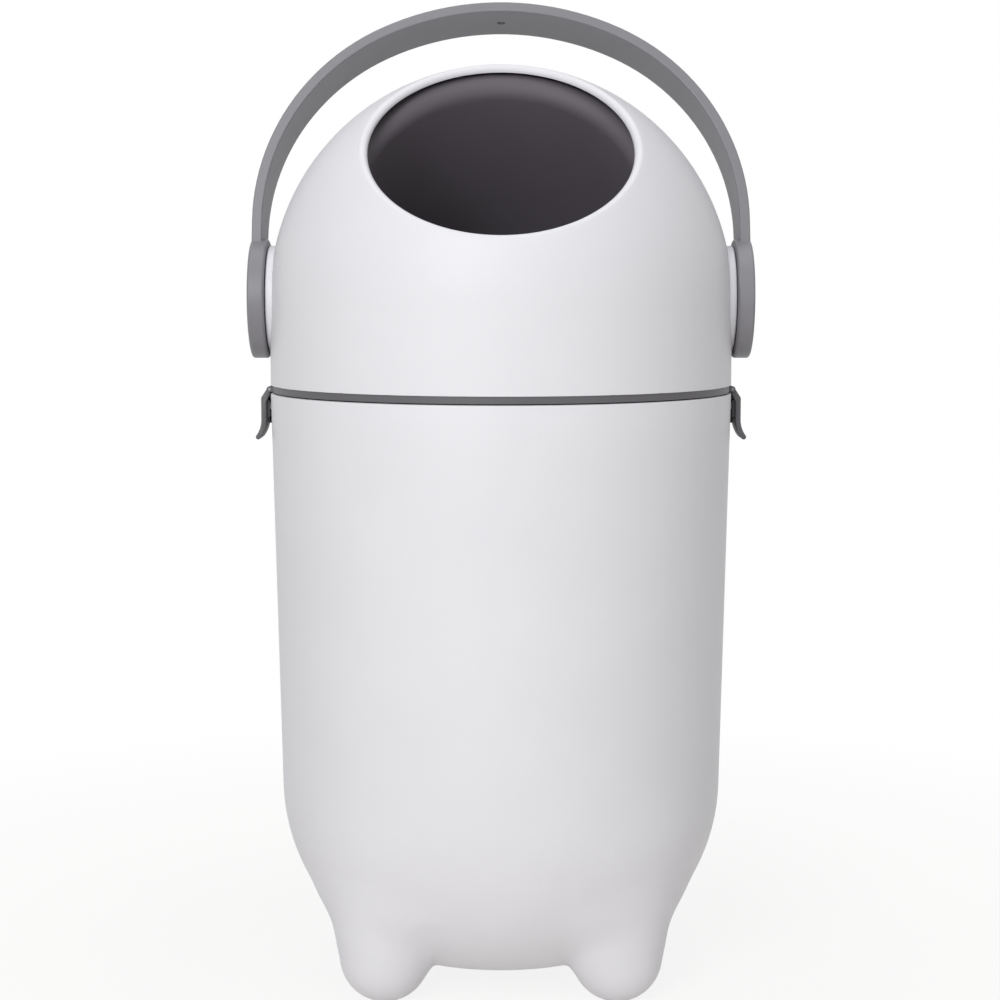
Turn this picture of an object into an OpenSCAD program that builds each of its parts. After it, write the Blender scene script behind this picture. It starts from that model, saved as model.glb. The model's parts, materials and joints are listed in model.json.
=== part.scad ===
// Nappy bin with a tilting drum. A tapered bin stands on four moulded feet.
// A domed head sits on it and holds a round drum, which the hoop handle turns.
// The drum's pocket takes the nappy, and drops it when the handle comes forward.
// Millimetres. Z is up, the front is -Y, and the origin is on the floor in the middle.

/* [Bin] */
// Height of the bin's rim above the floor
bin_h = 358.5; // [335:0.5:380]
// Outer radius of the rim and of the dome above it
rim_r = 140; // [136:0.5:146]
// Radius that the wall loses from the rim down to the shoulder
taper = 5.2; // [3:0.1:8]
// Wall of the moulded shells
wall = 3; // [2.4:0.1:3.4]
// Height at which the straight wall turns into the rounded shoulder
shoulder_z = 117; // [108:1:126]
// Radius of the shoulder in section
shoulder_r = 118; // [112:1:124]
// Radius between the shoulder and the base
base_corner_r = 30; // [24:1:34]
// Height of the flat base above the floor
base_z = 18; // [15:0.5:22]

/* [Feet] */
// Distance of each foot from the middle, along X and along Y
foot_offset = 69; // [64:0.5:72]
// Radius of the foot's ball
foot_r = 27; // [24:0.5:30]
// Depth of the flat that is cut on the ball where it stands
foot_cut = 0.9; // [0.5:0.1:1.5]
// Radius of the leg where it runs into the shoulder
leg_r = 51; // [46:1:54]
// Distance of the leg's upper end from the bin's axis
leg_reach = 81; // [76:1:83]
// Height of the leg's upper end
leg_z = 88; // [82:1:94]

/* [Seam] */
// Gap between the bin and the dome, where the ring shows
seam_h = 4.1; // [3.6:0.1:5]
// Height of the ring's underside above the bin's rim
ring_lift = 0.7; // [0.5:0.1:1]
// How far the ring's outer face lies inside the dome's
ring_inset = 1; // [0.6:0.1:1.4]
// Radial width of the ring's flange
ring_width = 12; // [11:0.5:13]
// Wall of the collar that centres the head in the bin
collar_wall = 1.4; // [1.2:0.1:1.5]
// Gap between the collar and the bin's inner wall
collar_gap = 0.8; // [0.6:0.1:0.9]
// How far the collar reaches down into the bin
collar_depth = 13; // [8:0.5:16]
// Width of the gasket
gasket_w = 1.6; // [1.2:0.1:1.8]
// Gap between the gasket and the bin's rim
gasket_gap = 0.3; // [0.2:0.05:0.4]
// Number of screws that hold the ring to the dome
ring_screws_n = 6; // [4, 6, 8]

/* [Dome] */
// Height of the handle's axis, and of the dome's centre, above the bin's rim
hub_rise = 56.5; // [54:0.5:62]
// Radius of the opening, inside its rounded edge
opening_r = 76.4; // [68:0.1:78]
// Angle of the opening's axis above the horizontal
opening_tilt = 49.7; // [46:0.1:53]
// Radius of the opening's rounded edge
lip_r = 3.2; // [2:0.1:4]
// How far the rounded edge stands out beyond the dome
lip_proud = 0.2; // [0.1:0.05:0.4]
// Radius of the round boss behind each end of the handle
boss_r = 32; // [30:0.5:33]
// How far the boss stands out beyond the dome's side
boss_proud = 0.6; // [0.4:0.1:1.2]

/* [Drum] */
// Gap between the drum and the inside of the dome
drum_gap = 2.5; // [2.2:0.1:3]
// Wall of the drum
drum_wall = 2.6; // [2.2:0.1:3]
// Gap between the opening's seal and the drum
seal_gap = 0.3; // [0.2:0.05:0.5]
// Thickness of the glue that holds the seal in the dome
seal_bed = 0.2; // [0.1:0.05:0.3]
// Width of the opening's seal
seal_w = 8; // [6:0.5:10]
// How much larger the drum's mouth is than the opening, in radius
mouth_extra = 2; // [1:0.5:3]
// Radius of the drum's rolled mouth
mouth_roll = 10; // [8:0.5:11]
// Angle of the pocket's axis above the horizontal, with the handle back
mouth_tilt = 41.7; // [38:0.1:50]
// Draft of the pocket's wall
pocket_draft = 10; // [8:0.5:12]
// Radius at the bottom of the pocket
pocket_corner_r = 38; // [30:1:42]
// Distance of the pocket's floor beyond the handle's axis
pocket_floor = 46; // [36:1:60]

/* [Axle] */
// Radius of the axle
axle_r = 10; // [9:0.25:10.5]
// Running clearance of the axle in its bush
axle_clear = 0.05; // [0.03:0.01:0.09]
// Wall of the bush
bush_wall = 3; // [2.5:0.25:3.5]
// Thickness of the bush's flange
bush_flange = 1; // [0.8:0.1:1.2]
// Across flats of the axle's hexagonal flange
hex_af = 24.5; // [23:0.5:25]
// Side of the square that drives the handle
drive_side = 12; // [10.5:0.25:12]

/* [Handle] */
// Angle by which the handle leans back at rest
handle_lean = 16; // [12:0.5:18]
// Angle by which the handle and drum turn to empty the pocket
dump_angle = 130; // [110:1:132]
// Distance from the axis to the top of the handle
handle_reach = 183.3; // [176:0.5:190]
// Width of the band, from front to back
band_w = 38; // [32:0.5:42]
// Thickness of the band
band_t = 6.2; // [5.5:0.1:6.6]
// Rounding of the band's edges
band_edge = 0.9; // [0.5:0.1:1.4]
// Radius of the band's shoulders, above its straight legs
band_shoulder_r = 136; // [124:0.5:148]
// Angle at which each shoulder passes into the flatter top
band_meet = 64.4; // [56:0.2:70]
// Radius of the round hub at each end of the handle
hub_r = 36; // [34.5:0.5:38]
// Thickness of the hub
hub_t = 10; // [9.6:0.1:11]
// Gap between the hub and the boss
hub_gap = 0.4; // [0.3:0.1:0.6]
// Radius of the cap in the hub's outer face
cap_r = 12; // [10:0.5:14]
// Radius of the gate recess under the top of the band
gate_r = 2.5; // [2:0.1:3]

/* [Latches] */
// Width of each latch, from front to back
latch_w = 26; // [24:0.5:30]
// Thickness of the latch's plate
latch_t = 3; // [2.6:0.1:3.2]
// How far the plate's outer face stands out from the rim
latch_out = 6.5; // [6.2:0.1:7.5]
// Radius of the knuckle round the pin
knuckle_r = 1.6; // [1.5:0.05:1.7]
// Thickness of the sloping arm between the knuckle and the plate
arm_t = 2.2; // [1.8:0.1:2.4]
// Distance from the pin down to the elbow between the arm and the plate
arm_drop = 6.4; // [5.8:0.1:7.4]
// Distance from the pin down to the start of the finger tab
latch_drop = 22.7; // [21.5:0.1:25]
// Radius of the curved finger tab, at the middle of its thickness
tab_r = 11; // [9.5:0.1:13]
// Angle through which the finger tab curves
tab_angle = 48; // [40:1:56]
// Radius of the latch's pin
pin_r = 0.8; // [0.7:0.05:0.9]
// Distance from the pin down to the top of the toe
toe_drop = 13; // [12.6:0.1:14]

/* [Hidden] */
$fn = 96;
far = 600;      // longer than anything that a cut has to pass through
touch = 0.01;   // by which one cut runs past the face that it starts from
past = 1;       // the same where there is room for more
fit = 0.1;      // gap between pieces that are pushed together
bite = 0.02;    // by which an arc stands over the line or arc that it runs into
lap = 1.2;      // length by which one stretch of a wall runs into the next
lap_step = 0.02; // by which each face of that stretch lies inside the next one's

shell_white = [0.93, 0.93, 0.94];
trim_grey = [0.45, 0.44, 0.45];
drum_grey = [0.25, 0.24, 0.25];
rubber_black = [0.06, 0.06, 0.06];
steel = [0.7, 0.7, 0.72];

// Levels
skirt_z = bin_h + seam_h;
ring_z = bin_h + ring_lift;
hub_z = bin_h + hub_rise;

// Shell of the bin, in section. The shoulder's circle is tangent to the wall,
// and the base's corner is tangent to the shoulder and to the base.
wall_angle = atan(taper / (bin_h - shoulder_z));
shoulder_c = [rim_r - taper - shoulder_r * cos(wall_angle), shoulder_z + shoulder_r * sin(wall_angle)];
corner_drop = shoulder_c.y - base_z - base_corner_r;
corner_c = [shoulder_c.x + sqrt(pow(shoulder_r - base_corner_r, 2) - pow(corner_drop, 2)), base_z + base_corner_r];
corner_dir = (corner_c - shoulder_c) / norm(corner_c - shoulder_c);
rim_edge = 1;

// Leg, as a ball below and a larger ball above with the cone that is tangent to both
foot_c = [foot_offset * sqrt(2), foot_r - foot_cut];
leg_c = [leg_reach, leg_z];
leg_len = norm(leg_c - foot_c);
leg_lean = atan2(foot_c.x - leg_c.x, leg_c.y - foot_c.y);
leg_flare = asin((leg_r - foot_r) / leg_len);

// Opening and drum, each in section about its own axis
drum_r = rim_r - wall - drum_gap;
lip_c = [opening_r + lip_r, sqrt(pow(rim_r + lip_proud - lip_r, 2) - pow(opening_r + lip_r, 2))];
lip_gap = 0.7;
mouth_r = opening_r + mouth_extra;
roll_c = [mouth_r + mouth_roll, sqrt(pow(drum_r - mouth_roll, 2) - pow(mouth_r + mouth_roll, 2))];
roll_dir = roll_c / norm(roll_c);
pocket_c = [roll_c.x - (roll_c.y + pocket_floor - pocket_corner_r) * tan(pocket_draft)
            - (mouth_roll + pocket_corner_r) / cos(pocket_draft), pocket_corner_r - pocket_floor];
wall_dir = [cos(pocket_draft), -sin(pocket_draft)];
roll_core = 1;
tongue_h = 3;
tongue_wall = 2.4;
tongue_gap = 0.3;

// Stations along the handle's axis, on the right-hand side
band_sunk = 0.5;
boss_x = rim_r + boss_proud;
hub_x = boss_x + hub_gap;
hub_end = hub_x + hub_t;
band_x = hub_end - band_sunk;
boss_root = 12;
boss_edge = 1.2;
hub_edge = 1.5;
flat_depth = 2;
drum_flat = drum_r - flat_depth;
bush_r = axle_r + axle_clear + bush_wall;
bush_flange_w = 4;
bush_flange_r = bush_r + bush_flange_w;
sleeve_wall = 3.5;
sleeve_r = bush_r + sleeve_wall;
sleeve_gap = 0.7;
sleeve_x = drum_flat + sleeve_gap;
trunnion_wall = 3.8;
trunnion_r = hex_af / 2 + trunnion_wall;
trunnion_len = 22;
trunnion_x = drum_flat - trunnion_len;
hex_inset = 8;
hex_x = trunnion_x + hex_inset;
hex_t = 5;
drive_gap = 0.8;
drive_x = boss_x + bush_flange + drive_gap;
cap_t = 1.2;
cap_step = 5;
cap_skirt_t = 1.4;
cap_gap = 0.2;
screw_head_t = 1.6;
web_end = hub_end - cap_t - screw_head_t - cap_gap;
web_t = 1.4;
drive_end = web_end - web_t;
hub_screw_r = 2;
hub_screw_head_r = 4.2;
hub_screw_len = 16;
hub_recess = 0.9;
hole_end = 1;
recess_span = 1.2;
recess_slot = 0.24;
flange_gap = 1;
gate_depth = 1;

// Stop that ends the handle's travel: a pin on the hub in a groove in the boss
stop_track_r = 25;
stop_pin_r = 2.6;
stop_groove_r = 3;
stop_depth = 2.8;
stop_gap = 0.4;
stop_root = 1;

// Band of the handle: two shoulder arcs and one top arc that meets them smoothly
shoulder_x = band_x - band_shoulder_r;
top_r = band_shoulder_r + shoulder_x / cos(band_meet);
top_c = handle_reach - top_r;
band_leg = top_c + shoulder_x * tan(band_meet);
lap_angle = lap / top_r * 180 / PI;

// Ring between the dome and the bin
ring_r = rim_r - ring_inset;
ring_bore = ring_r - ring_width;
collar_r = rim_r - wall - collar_gap;
gasket_edge = 1.2;
gasket_r = ring_r - gasket_edge;
groove_t = 1.3;
gasket_t = ring_lift - gasket_gap + groove_t - fit;
ring_screw_r = 1.5;
ring_screw_head_r = 2.5;
ring_screw_head_t = 1.6;
ring_screw_len = 9;
ring_recess = 0.8;
post_r = 3.4;
post_h = 9.4;
rib_w = 2;
post_gap = 0.3;
post_track = collar_r - collar_wall - ring_screw_head_r - post_gap;
ring_lip_h = 3;
ring_lip_wall = 1.6;

// Latches. The knuckle turns in the seam, in a pocket in the ring between its ears.
pin_x = rim_r;
knuckle_gap = 0.25;
pin_z = skirt_z - knuckle_r - knuckle_gap;
pin_clear = 0.05;
ear_w = 3;
ear_r = 1.7;
ear_root = 2;
ear_gap = 0.4;
plate_in = rim_r + latch_out - latch_t;
elbow = [plate_in + latch_t / 2, pin_z - arm_drop];
arm_dir = (elbow - [pin_x, pin_z]) / norm(elbow - [pin_x, pin_z]);
arm_side = [-arm_dir.y, arm_dir.x];
tab_c = [elbow.x + tab_r, pin_z - latch_drop];
flank_w = 2;
flank_in = 5;
latch_gap = 0.6;
flank_x = rim_r + latch_gap;
flank_drop = 0.5;
flank_top = elbow.y - flank_drop;
flank_h = 10.5;
toe_h = 2.7;
toe_root = 2;
toe_slope = 1;
toe_x = rim_r + latch_gap;
catch_gap = 0.4;
catch_x = plate_in - latch_gap;
catch_h = 6;
catch_nose = 2;
catch_side_gap = 0.5;
catch_w = latch_w - 2 * (flank_in + flank_w + catch_side_gap);

module both_sides() {
    children();
    mirror([1, 0, 0]) children();
}

module along_x(x) {
    translate([x, 0, hub_z]) rotate([0, 90, 0]) children();
}

module about_opening() {
    translate([0, 0, hub_z]) rotate([90 - opening_tilt, 0, 0]) children();
}

module about_mouth() {
    translate([0, 0, hub_z]) rotate([90 - mouth_tilt, 0, 0]) children();
}

module right_half() {
    intersection() {
        children();
        translate([0, -far]) square([far, 2 * far]);
    }
}

// Rectangle with its corner at the origin and all four corners rounded
module rounded_rect(size, r) {
    translate([r, 0]) square([size.x - 2 * r, size.y]);
    translate([0, r]) square([size.x, size.y - 2 * r]);
    for (x = [r, size.x - r], y = [r, size.y - r]) translate([x, y]) circle(r);
}

// Disc that stands on z = 0 with both of its edges rounded
module rounded_disc(r, h, edge) {
    rotate_extrude() {
        square([r - edge, h]);
        translate([0, edge]) square([r, h - 2 * edge]);
        for (z = [edge, h - edge]) translate([r - edge, z]) circle(edge);
    }
}

// Bin

// Filled half section of the bin, moved in by inset on every side but the top
module bin_section(inset, top) {
    foot_of_wall = shoulder_c + (shoulder_r - inset - bite) * [cos(wall_angle), -sin(wall_angle)];
    shoulder_end = shoulder_c + (shoulder_r - inset) * corner_dir;
    top_r = rim_r - inset / cos(wall_angle) + (top - bin_h) * tan(wall_angle);
    polygon([[0, base_z + inset], [corner_c.x, base_z + inset], [corner_c.x, foot_of_wall.y],
             foot_of_wall, [top_r, top], [0, top]]);
    translate(corner_c) circle(base_corner_r - inset + bite);
    intersection() {
        translate(shoulder_c) circle(shoulder_r - inset);
        translate([0, shoulder_end.y]) square([far, far]);
    }
}

// Leg at one corner, moved in by inset
module leg(inset) {
    flare = [cos(leg_flare), -sin(leg_flare)];
    rotate([0, 0, 45]) translate([foot_c.x, 0, foot_c.y]) rotate([0, -leg_lean, 0])
        rotate_extrude() right_half() {
            circle(foot_r - inset);
            translate([0, leg_len]) circle(leg_r - inset);
            polygon([[0, 0], (foot_r - inset - bite) * flare,
                     [0, leg_len] + (leg_r - inset - bite) * flare, [0, leg_len]]);
        }
}

module four_legs(inset) {
    for (turn = [0:90:270]) rotate([0, 0, turn]) leg(inset);
}

// Wedge on the bin's wall that the latch's toe snaps under
module latch_catch() {
    catch_z = pin_z - toe_drop + catch_gap;
    root = rim_r - taper * (bin_h - catch_z) / (bin_h - shoulder_z) - wall / 2;
    translate([0, catch_w / 2, 0]) rotate([90, 0, 0]) linear_extrude(catch_w)
        polygon([[root, catch_z], [catch_x, catch_z], [catch_x, catch_z + catch_nose],
                 [root, catch_z + catch_h]]);
}

module bin_shell() {
    color(shell_white) {
        difference() {
            union() {
                rotate_extrude() right_half() bin_section(0, bin_h - rim_edge);
                rotate_extrude() translate([rim_r - wall, bin_h - wall])
                    rounded_rect([wall - touch, wall], rim_edge);
                four_legs(0);
            }
            rotate_extrude() right_half() bin_section(wall, bin_h + touch);
            four_legs(wall);
            translate([0, 0, -far]) cylinder(r = far, h = far);
        }
        both_sides() latch_catch();
    }
}

// Head

module dome_section(inset) {
    intersection() {
        circle(rim_r - inset);
        square([far, far]);
    }
    translate([0, skirt_z - hub_z]) square([rim_r - inset, hub_z - skirt_z]);
}

// Rounded edge of the opening, cut short of the drum
module lip_section() {
    difference() {
        translate(lip_c) circle(lip_r);
        circle(drum_r + lip_gap);
    }
}

module dome_boss() {
    along_x(boss_x - boss_root) rounded_disc(boss_r, boss_root, boss_edge);
}

module stop_groove() {
    along_x(boss_x - stop_depth) {
        rotate([0, 0, -dump_angle / 2]) rotate_extrude(angle = dump_angle)
            translate([stop_track_r - stop_groove_r, 0]) square([2 * stop_groove_r, far]);
        for (end = [-1, 1]) rotate([0, 0, end * dump_angle / 2]) translate([stop_track_r, 0, 0])
            cylinder(r = stop_groove_r, h = far);
    }
}

// Screw posts inside the skirt, each joined to the wall by a rib
module ring_posts() {
    for (i = [0:ring_screws_n - 1]) rotate([0, 0, (i + 0.5) * 360 / ring_screws_n]) {
        translate([post_track, 0, skirt_z]) difference() {
            union() {
                cylinder(r = post_r, h = post_h);
                translate([0, -rib_w / 2, 0]) cube([rim_r - wall / 2 - post_track, rib_w, post_h]);
            }
            translate([0, 0, -touch]) cylinder(r = ring_screw_r, h = ring_screw_len);
        }
    }
}

module dome_shell() {
    color(shell_white) {
        difference() {
            union() {
                difference() {
                    union() {
                        translate([0, 0, hub_z]) rotate_extrude() dome_section(0);
                        both_sides() dome_boss();
                    }
                    translate([0, 0, hub_z]) rotate_extrude() dome_section(wall);
                    translate([0, 0, skirt_z - far]) cylinder(r = far, h = far);
                    about_opening() cylinder(r = lip_c.x * rim_r / norm(lip_c), h = far);
                }
                about_opening() rotate_extrude() lip_section();
                both_sides() bearing_sleeve();
            }
            both_sides() {
                along_x(0) cylinder(r = bush_r, h = far);
                stop_groove();
            }
        }
        ring_posts();
    }
}

// Short tube inside the dome that carries the bush
module bearing_sleeve() {
    along_x(sleeve_x) cylinder(r = sleeve_r, h = boss_x - boss_edge - sleeve_x);
}

module opening_seal() {
    color(rubber_black) about_opening() rotate_extrude() difference() {
        intersection() {
            circle(rim_r - wall - seal_bed);
            translate([lip_c.x + lip_r + seal_bed, 0]) square([seal_w, far]);
        }
        circle(drum_r + seal_gap);
    }
}

// Ears of the ring that hold the ends of a latch's pin
module latch_ears() {
    for (y = [-1, 1]) translate([0, y * (latch_w / 2 + ear_gap + ear_w / 2) + ear_w / 2, 0])
        rotate([90, 0, 0]) linear_extrude(ear_w) {
            translate([pin_x, pin_z]) circle(ear_r + bite);
            translate([ring_r - ear_root, ring_z]) square([pin_x - ring_r + ear_root, pin_z + ear_r - ring_z]);
        }
}

// Pocket in the ring that the knuckle turns in
module knuckle_pocket() {
    translate([pin_x - knuckle_r - knuckle_gap, -latch_w / 2 - ear_gap, 0])
        cube([far, latch_w + 2 * ear_gap, far]);
}

module base_ring() {
    color(trim_grey) difference() {
        union() {
            rotate_extrude() {
                translate([ring_bore, ring_z]) square([ring_width, skirt_z - ring_z]);
                translate([collar_r - collar_wall, ring_z - collar_depth])
                    square([collar_wall, collar_depth + touch]);
                translate([rim_r - wall - fit - ring_lip_wall, skirt_z - touch])
                    square([ring_lip_wall, ring_lip_h]);
            }
            both_sides() latch_ears();
        }
        rotate_extrude() translate([gasket_r - gasket_w - fit, ring_z - touch])
            square([gasket_w + 2 * fit, groove_t + touch]);
        both_sides() {
            knuckle_pocket();
            translate([pin_x, 0, pin_z]) rotate([90, 0, 0]) cylinder(r = pin_r, h = far, center = true);
        }
        for (i = [0:ring_screws_n - 1]) rotate([0, 0, (i + 0.5) * 360 / ring_screws_n])
            translate([post_track, 0, 0]) {
                cylinder(r = ring_screw_r + fit, h = skirt_z + touch);
                translate([0, 0, skirt_z]) cylinder(r = post_r + fit, h = far);
                translate([0, -rib_w / 2 - fit, skirt_z]) cube([far, rib_w + 2 * fit, far]);
            }
    }
}

module rim_gasket() {
    color(rubber_black) translate([0, 0, bin_h + gasket_gap]) rotate_extrude()
        translate([gasket_r - gasket_w, 0]) square([gasket_w, gasket_t]);
}

module ring_screws() {
    color(steel) for (i = [0:ring_screws_n - 1]) rotate([0, 0, (i + 0.5) * 360 / ring_screws_n])
        translate([post_track, 0, ring_z]) {
            translate([0, 0, -ring_screw_head_t]) difference() {
                cylinder(r = ring_screw_head_r, h = ring_screw_head_t);
                cross_recess(ring_screw_head_r, ring_recess);
            }
            cylinder(r = ring_screw_r, h = ring_screw_len - hole_end);
        }
}

// Cross recess cut into a screw's head from z = 0 upwards
module cross_recess(head_r, depth) {
    span = head_r * recess_span;
    slot = head_r * recess_slot;
    for (turn = [0, 90]) rotate([0, 0, turn]) translate([-span / 2, -slot / 2, -touch])
        cube([span, slot, depth + touch]);
}

module bush() {
    color(shell_white) along_x(0) difference() {
        union() {
            translate([0, 0, sleeve_x]) cylinder(r = bush_r, h = boss_x - sleeve_x);
            translate([0, 0, boss_x]) cylinder(r = bush_flange_r, h = bush_flange);
        }
        cylinder(r = axle_r + axle_clear, h = far);
    }
}

// Latches

// Outline of the latch, from its knuckle down to the end of the finger tab
module latch_outline() {
    translate([pin_x, pin_z]) circle(knuckle_r);
    polygon([[pin_x, pin_z] + arm_t / 2 * arm_side, elbow + arm_t / 2 * arm_side,
             elbow - arm_t / 2 * arm_side, [pin_x, pin_z] - arm_t / 2 * arm_side]);
    translate(elbow) circle(latch_t / 2 + bite);
    translate([plate_in, tab_c.y]) square([latch_t, elbow.y - tab_c.y]);
    translate(tab_c) {
        difference() {
            intersection() {
                circle(tab_r + latch_t / 2);
                polygon([[0, 0], [-far, 0], [-far * cos(tab_angle), -far * sin(tab_angle)]]);
            }
            circle(tab_r - latch_t / 2);
        }
        rotate(tab_angle) translate([-tab_r, 0]) circle(latch_t / 2 + bite);
    }
}

module latch() {
    color(trim_grey) difference() {
        union() {
            translate([0, latch_w / 2, 0]) rotate([90, 0, 0]) linear_extrude(latch_w) latch_outline();
            for (y = [-1, 1]) translate([flank_x, y * (latch_w / 2 - flank_in) - flank_w / 2, flank_top - flank_h])
                cube([plate_in - flank_x + latch_t / 2, flank_w, flank_h]);
            translate([0, latch_w / 2 - flank_in, pin_z - toe_drop]) rotate([90, 0, 0])
                linear_extrude(latch_w - 2 * flank_in)
                    polygon([[toe_x, 0], [elbow.x, 0], [elbow.x, -toe_h - toe_root], [plate_in, -toe_h - toe_root],
                             [toe_x, toe_slope - toe_h]]);
        }
        translate([pin_x, 0, pin_z]) rotate([90, 0, 0]) cylinder(r = pin_r + pin_clear, h = far, center = true);
    }
}

module latch_pin() {
    length = latch_w + 2 * (ear_gap + ear_w);
    color(steel) translate([pin_x, 0, pin_z]) rotate([90, 0, 0]) cylinder(r = pin_r, h = length, center = true);
}

// Drum

// Radius of the pocket's wall where the drum's halves meet, at a depth into the wall
function wall_x(depth) = roll_c.x - roll_c.y * tan(pocket_draft) - (mouth_roll - depth) / cos(pocket_draft);

// Filled half section of the drum's front, outside the pocket, moved in by inset
module drum_front_section(inset) {
    intersection() {
        circle(drum_r - inset);
        translate([roll_c.x, 0]) square([far, (drum_r - inset) * roll_dir.y]);
    }
    translate(roll_c) circle(mouth_roll - inset + bite);
    polygon([roll_c - (mouth_roll - inset) * wall_dir, roll_c + [roll_core, 0], [roll_c.x + roll_core, 0],
             [wall_x(inset), 0]]);
}

// Filled half section of the pocket, grown by outset. It runs up past the plane where the halves meet.
module pocket_section(outset) {
    corner_start = pocket_c + (pocket_corner_r + outset - bite) * wall_dir;
    polygon([[0, lap], [wall_x(outset) + lap * tan(pocket_draft), lap], corner_start, [0, corner_start.y]]);
    translate(pocket_c) intersection() {
        circle(pocket_corner_r + outset);
        translate([0, -far]) square([far, far]);
    }
    translate([0, -pocket_floor - outset]) square([pocket_c.x, pocket_floor + outset]);
}

// Half of the boss that clamps the axle's hexagonal flange
module trunnion(front) {
    intersection() {
        along_x(trunnion_x) cylinder(r = trunnion_r, h = drum_flat - trunnion_x);
        about_mouth() translate([0, 0, front ? 0 : -far]) cylinder(r = far, h = far);
    }
}

// Hexagon of the axle's flange. The plane where the drum's halves meet passes through two of its corners.
module hexagon(af, h) {
    rotate([0, 0, 30 + mouth_tilt]) cylinder(r = af / 2 / cos(30), h = h, $fn = 6);
}

module trunnion_cuts() {
    along_x(trunnion_x - touch) cylinder(r = axle_r + fit / 2, h = far);
    along_x(hex_x - fit) hexagon(hex_af + 2 * fit, hex_t + 2 * fit);
    along_x(drum_flat) cylinder(r = trunnion_r + past, h = far);
}

module drum_front() {
    color(drum_grey) difference() {
        union() {
            about_mouth() rotate_extrude() {
                difference() {
                    drum_front_section(0);
                    drum_front_section(drum_wall);
                    translate([0, -far]) square([far, far]);
                }
                difference() {
                    pocket_section(drum_wall - lap_step);
                    pocket_section(lap_step);
                }
            }
            both_sides() trunnion(true);
        }
        both_sides() trunnion_cuts();
    }
}

module drum_rear() {
    color(drum_grey) difference() {
        union() {
            about_mouth() rotate_extrude() {
                intersection() {
                    difference() {
                        circle(drum_r);
                        circle(drum_r - drum_wall);
                    }
                    translate([0, -far]) square([far, far]);
                }
                translate([drum_r - drum_wall - tongue_wall, -2 * tongue_h])
                    square([tongue_wall - tongue_gap, 3 * tongue_h]);
                translate([drum_r - drum_wall - tongue_wall, -2 * tongue_h])
                    square([tongue_wall, tongue_h]);
            }
            both_sides() trunnion(false);
        }
        both_sides() {
            trunnion_cuts();
            intersection() {
                along_x(trunnion_x - past) cylinder(r = trunnion_r + fit, h = far);
                about_mouth() cylinder(r = far, h = far);
            }
        }
    }
}

module axle() {
    color(trim_grey) difference() {
        union() {
            along_x(trunnion_x) cylinder(r = axle_r, h = drive_x - trunnion_x);
            along_x(hex_x) hexagon(hex_af, hex_t);
            along_x(drive_x) rotate([0, 0, -handle_lean]) translate([-drive_side / 2, -drive_side / 2, -touch])
                cube([drive_side, drive_side, drive_end - drive_x - fit]);
        }
        along_x(web_end - hub_screw_len - hole_end) cylinder(r = hub_screw_r, h = far);
    }
}

// Handle

// Section of the band, moved in by inset
module band_section(inset) {
    translate([inset, inset]) rounded_rect([band_t - 2 * inset, band_w - 2 * inset], band_edge);
}

// Stretch of the band along an arc in the XZ plane, from one angle to another
module band_arc(centre, r, from, to, inset) {
    translate([centre.x, 0, centre.y]) rotate([90, 0, 0]) rotate([0, 0, from])
        rotate_extrude(angle = to - from) translate([r - band_t, -band_w / 2]) band_section(inset);
}

// The top arc's ends run a little way into the shoulders, which are thicker by the lap's step
module band() {
    band_arc([0, top_c], top_r, band_meet - lap_angle, 180 - band_meet + lap_angle, lap_step);
    both_sides() {
        band_arc([shoulder_x, band_leg], band_shoulder_r, 0, band_meet, 0);
        translate([band_x - band_t, -band_w / 2, 0]) linear_extrude(band_leg) band_section(0);
    }
}

module handle() {
    color(trim_grey) difference() {
        union() {
            translate([0, 0, hub_z]) rotate([-handle_lean, 0, 0]) difference() {
                union() {
                    band();
                    both_sides() translate([hub_x, 0, 0]) rotate([0, 90, 0]) rounded_disc(hub_r, hub_t, hub_edge);
                }
                translate([0, 0, handle_reach - band_t - gate_depth]) cylinder(r = gate_r, h = 2 * gate_depth);
            }
            both_sides() along_x(boss_x - stop_depth + stop_gap) rotate([0, 0, -dump_angle / 2])
                translate([stop_track_r, 0, 0]) cylinder(r = stop_pin_r, h = stop_depth + stop_root);
        }
        both_sides() {
            along_x(hub_x - past) cylinder(r = bush_flange_r + flange_gap, h = drive_x - hub_x + past);
            along_x(drive_x - touch) rotate([0, 0, -handle_lean])
                translate([-drive_side / 2 - fit, -drive_side / 2 - fit, 0])
                    cube([drive_side + 2 * fit, drive_side + 2 * fit, drive_end - drive_x]);
            along_x(hub_x) cylinder(r = hub_screw_r + fit, h = far);
            along_x(web_end) cylinder(r = cap_r - cap_step, h = far);
            along_x(hub_end - cap_t) cylinder(r = cap_r, h = far);
        }
    }
}

module hub_screw() {
    color(steel) along_x(web_end) difference() {
        union() {
            cylinder(r = hub_screw_head_r, h = screw_head_t);
            translate([0, 0, -hub_screw_len]) cylinder(r = hub_screw_r, h = hub_screw_len + touch);
        }
        translate([0, 0, screw_head_t]) mirror([0, 0, 1]) cross_recess(hub_screw_head_r, hub_recess);
    }
}

module hub_cap() {
    skirt_h = hub_end - cap_t - web_end - cap_gap;
    color(trim_grey) along_x(hub_end - cap_t) {
        cylinder(r = cap_r - fit, h = cap_t);
        translate([0, 0, -skirt_h]) difference() {
            cylinder(r = cap_r - cap_step - fit, h = skirt_h + touch);
            translate([0, 0, -touch]) cylinder(r = cap_r - cap_step - cap_skirt_t, h = skirt_h + touch);
        }
    }
}

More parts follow.
